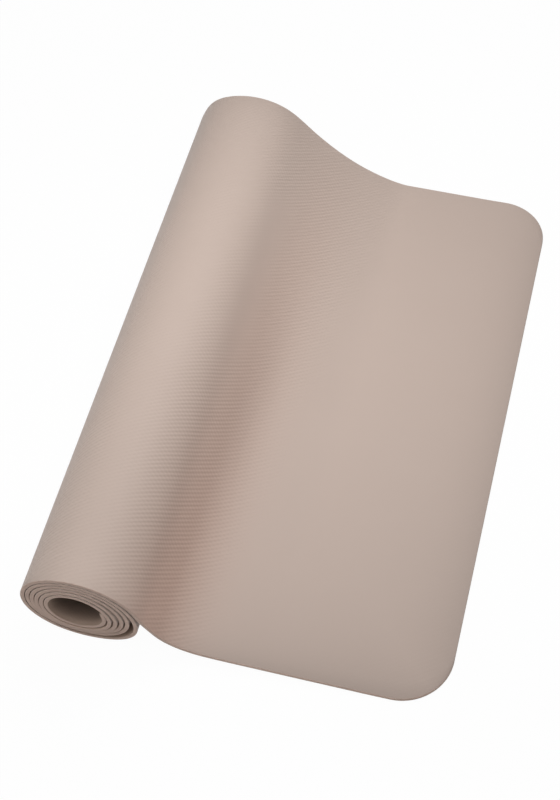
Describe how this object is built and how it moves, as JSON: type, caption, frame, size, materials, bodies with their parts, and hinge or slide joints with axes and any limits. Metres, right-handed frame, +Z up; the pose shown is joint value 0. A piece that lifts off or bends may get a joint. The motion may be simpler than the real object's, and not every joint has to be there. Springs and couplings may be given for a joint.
{
  "type": "yoga mat",
  "caption": "Bonded foam exercise mat with a finely embossed face, rolled up but for its free end, which falls from the top of the roll and lies flat on the floor.",
  "frame": {"origin": "on the floor, under the middle of the whole mat as it lies", "axes": "+Z up, +X from the roll towards the free edge of the flap, +Y along the roll, from the end that shows its spiral to the far end"},
  "size_m": [0.3984, 0.6102, 0.1134],
  "materials": {
    "top_foam": "matte embossed foam",
    "scrim": "open woven mesh",
    "base_foam": "matte foam"
  },
  "bodies": {
    "roll": {"top_foam_winding": "top_foam", "scrim_winding": "scrim", "base_foam_winding": "base_foam", "top_foam_crest": "top_foam", "scrim_crest": "scrim", "base_foam_crest": "base_foam"},
    "slope": {"top_foam_slope": "top_foam", "scrim_slope": "scrim", "base_foam_slope": "base_foam"},
    "trough": {"top_foam_trough": "top_foam", "scrim_trough": "scrim", "base_foam_trough": "base_foam"},
    "flap_1": {"top_foam_flap_1": "top_foam", "scrim_flap_1": "scrim", "base_foam_flap_1": "base_foam"},
    "flap_2": {"top_foam_flap_2": "top_foam", "scrim_flap_2": "scrim", "base_foam_flap_2": "base_foam"},
    "flap_3": {"top_foam_flap_3": "top_foam", "scrim_flap_3": "scrim", "base_foam_flap_3": "base_foam"},
    "flap_end": {"top_foam_flap_end": "top_foam", "scrim_flap_end": "scrim", "base_foam_flap_end": "base_foam"}
  },
  "joints": [
    {"name": "slope_lift", "type": "hinge", "parent": "roll", "child": "slope", "pos_m": [-0.10882, 0, 0.10091], "axis": [0.0081, -0.9996, -0.0283], "range_deg": [0, 25]},
    {"name": "trough_lift", "type": "hinge", "parent": "slope", "child": "trough", "pos_m": [-0.04699, 0, 0.03341], "axis": [-0.0184, -0.9986, -0.0501], "range_deg": [0, 30]},
    {"name": "flap_lift", "type": "hinge", "parent": "trough", "child": "flap_1", "pos_m": [0.03939, 0, 0.008], "axis": [0, -1, 0], "range_deg": [0, 25]},
    {"name": "flap_curl", "type": "hinge", "parent": "flap_1", "child": "flap_2", "pos_m": [0.07265, 0, 0.00667], "axis": [0, -1, 0], "range_deg": [0, 45]},
    {"name": "flap_curl_2", "type": "hinge", "parent": "flap_2", "child": "flap_3", "pos_m": [0.10599, 0, 0.00533], "axis": [0, -1, 0], "range_deg": [0, 45]},
    {"name": "end_curl", "type": "hinge", "parent": "flap_3", "child": "flap_end", "pos_m": [0.13932, 0, 0.004], "axis": [0, -1, 0], "range_deg": [0, 45]}
  ],
  "couplings": [
    {"joint": "trough_lift", "follows": "slope_lift", "ratio": 1.2},
    {"joint": "flap_lift", "follows": "slope_lift", "ratio": 1},
    {"joint": "flap_curl_2", "follows": "flap_curl", "ratio": 1},
    {"joint": "end_curl", "follows": "flap_curl", "ratio": 1}
  ]
}
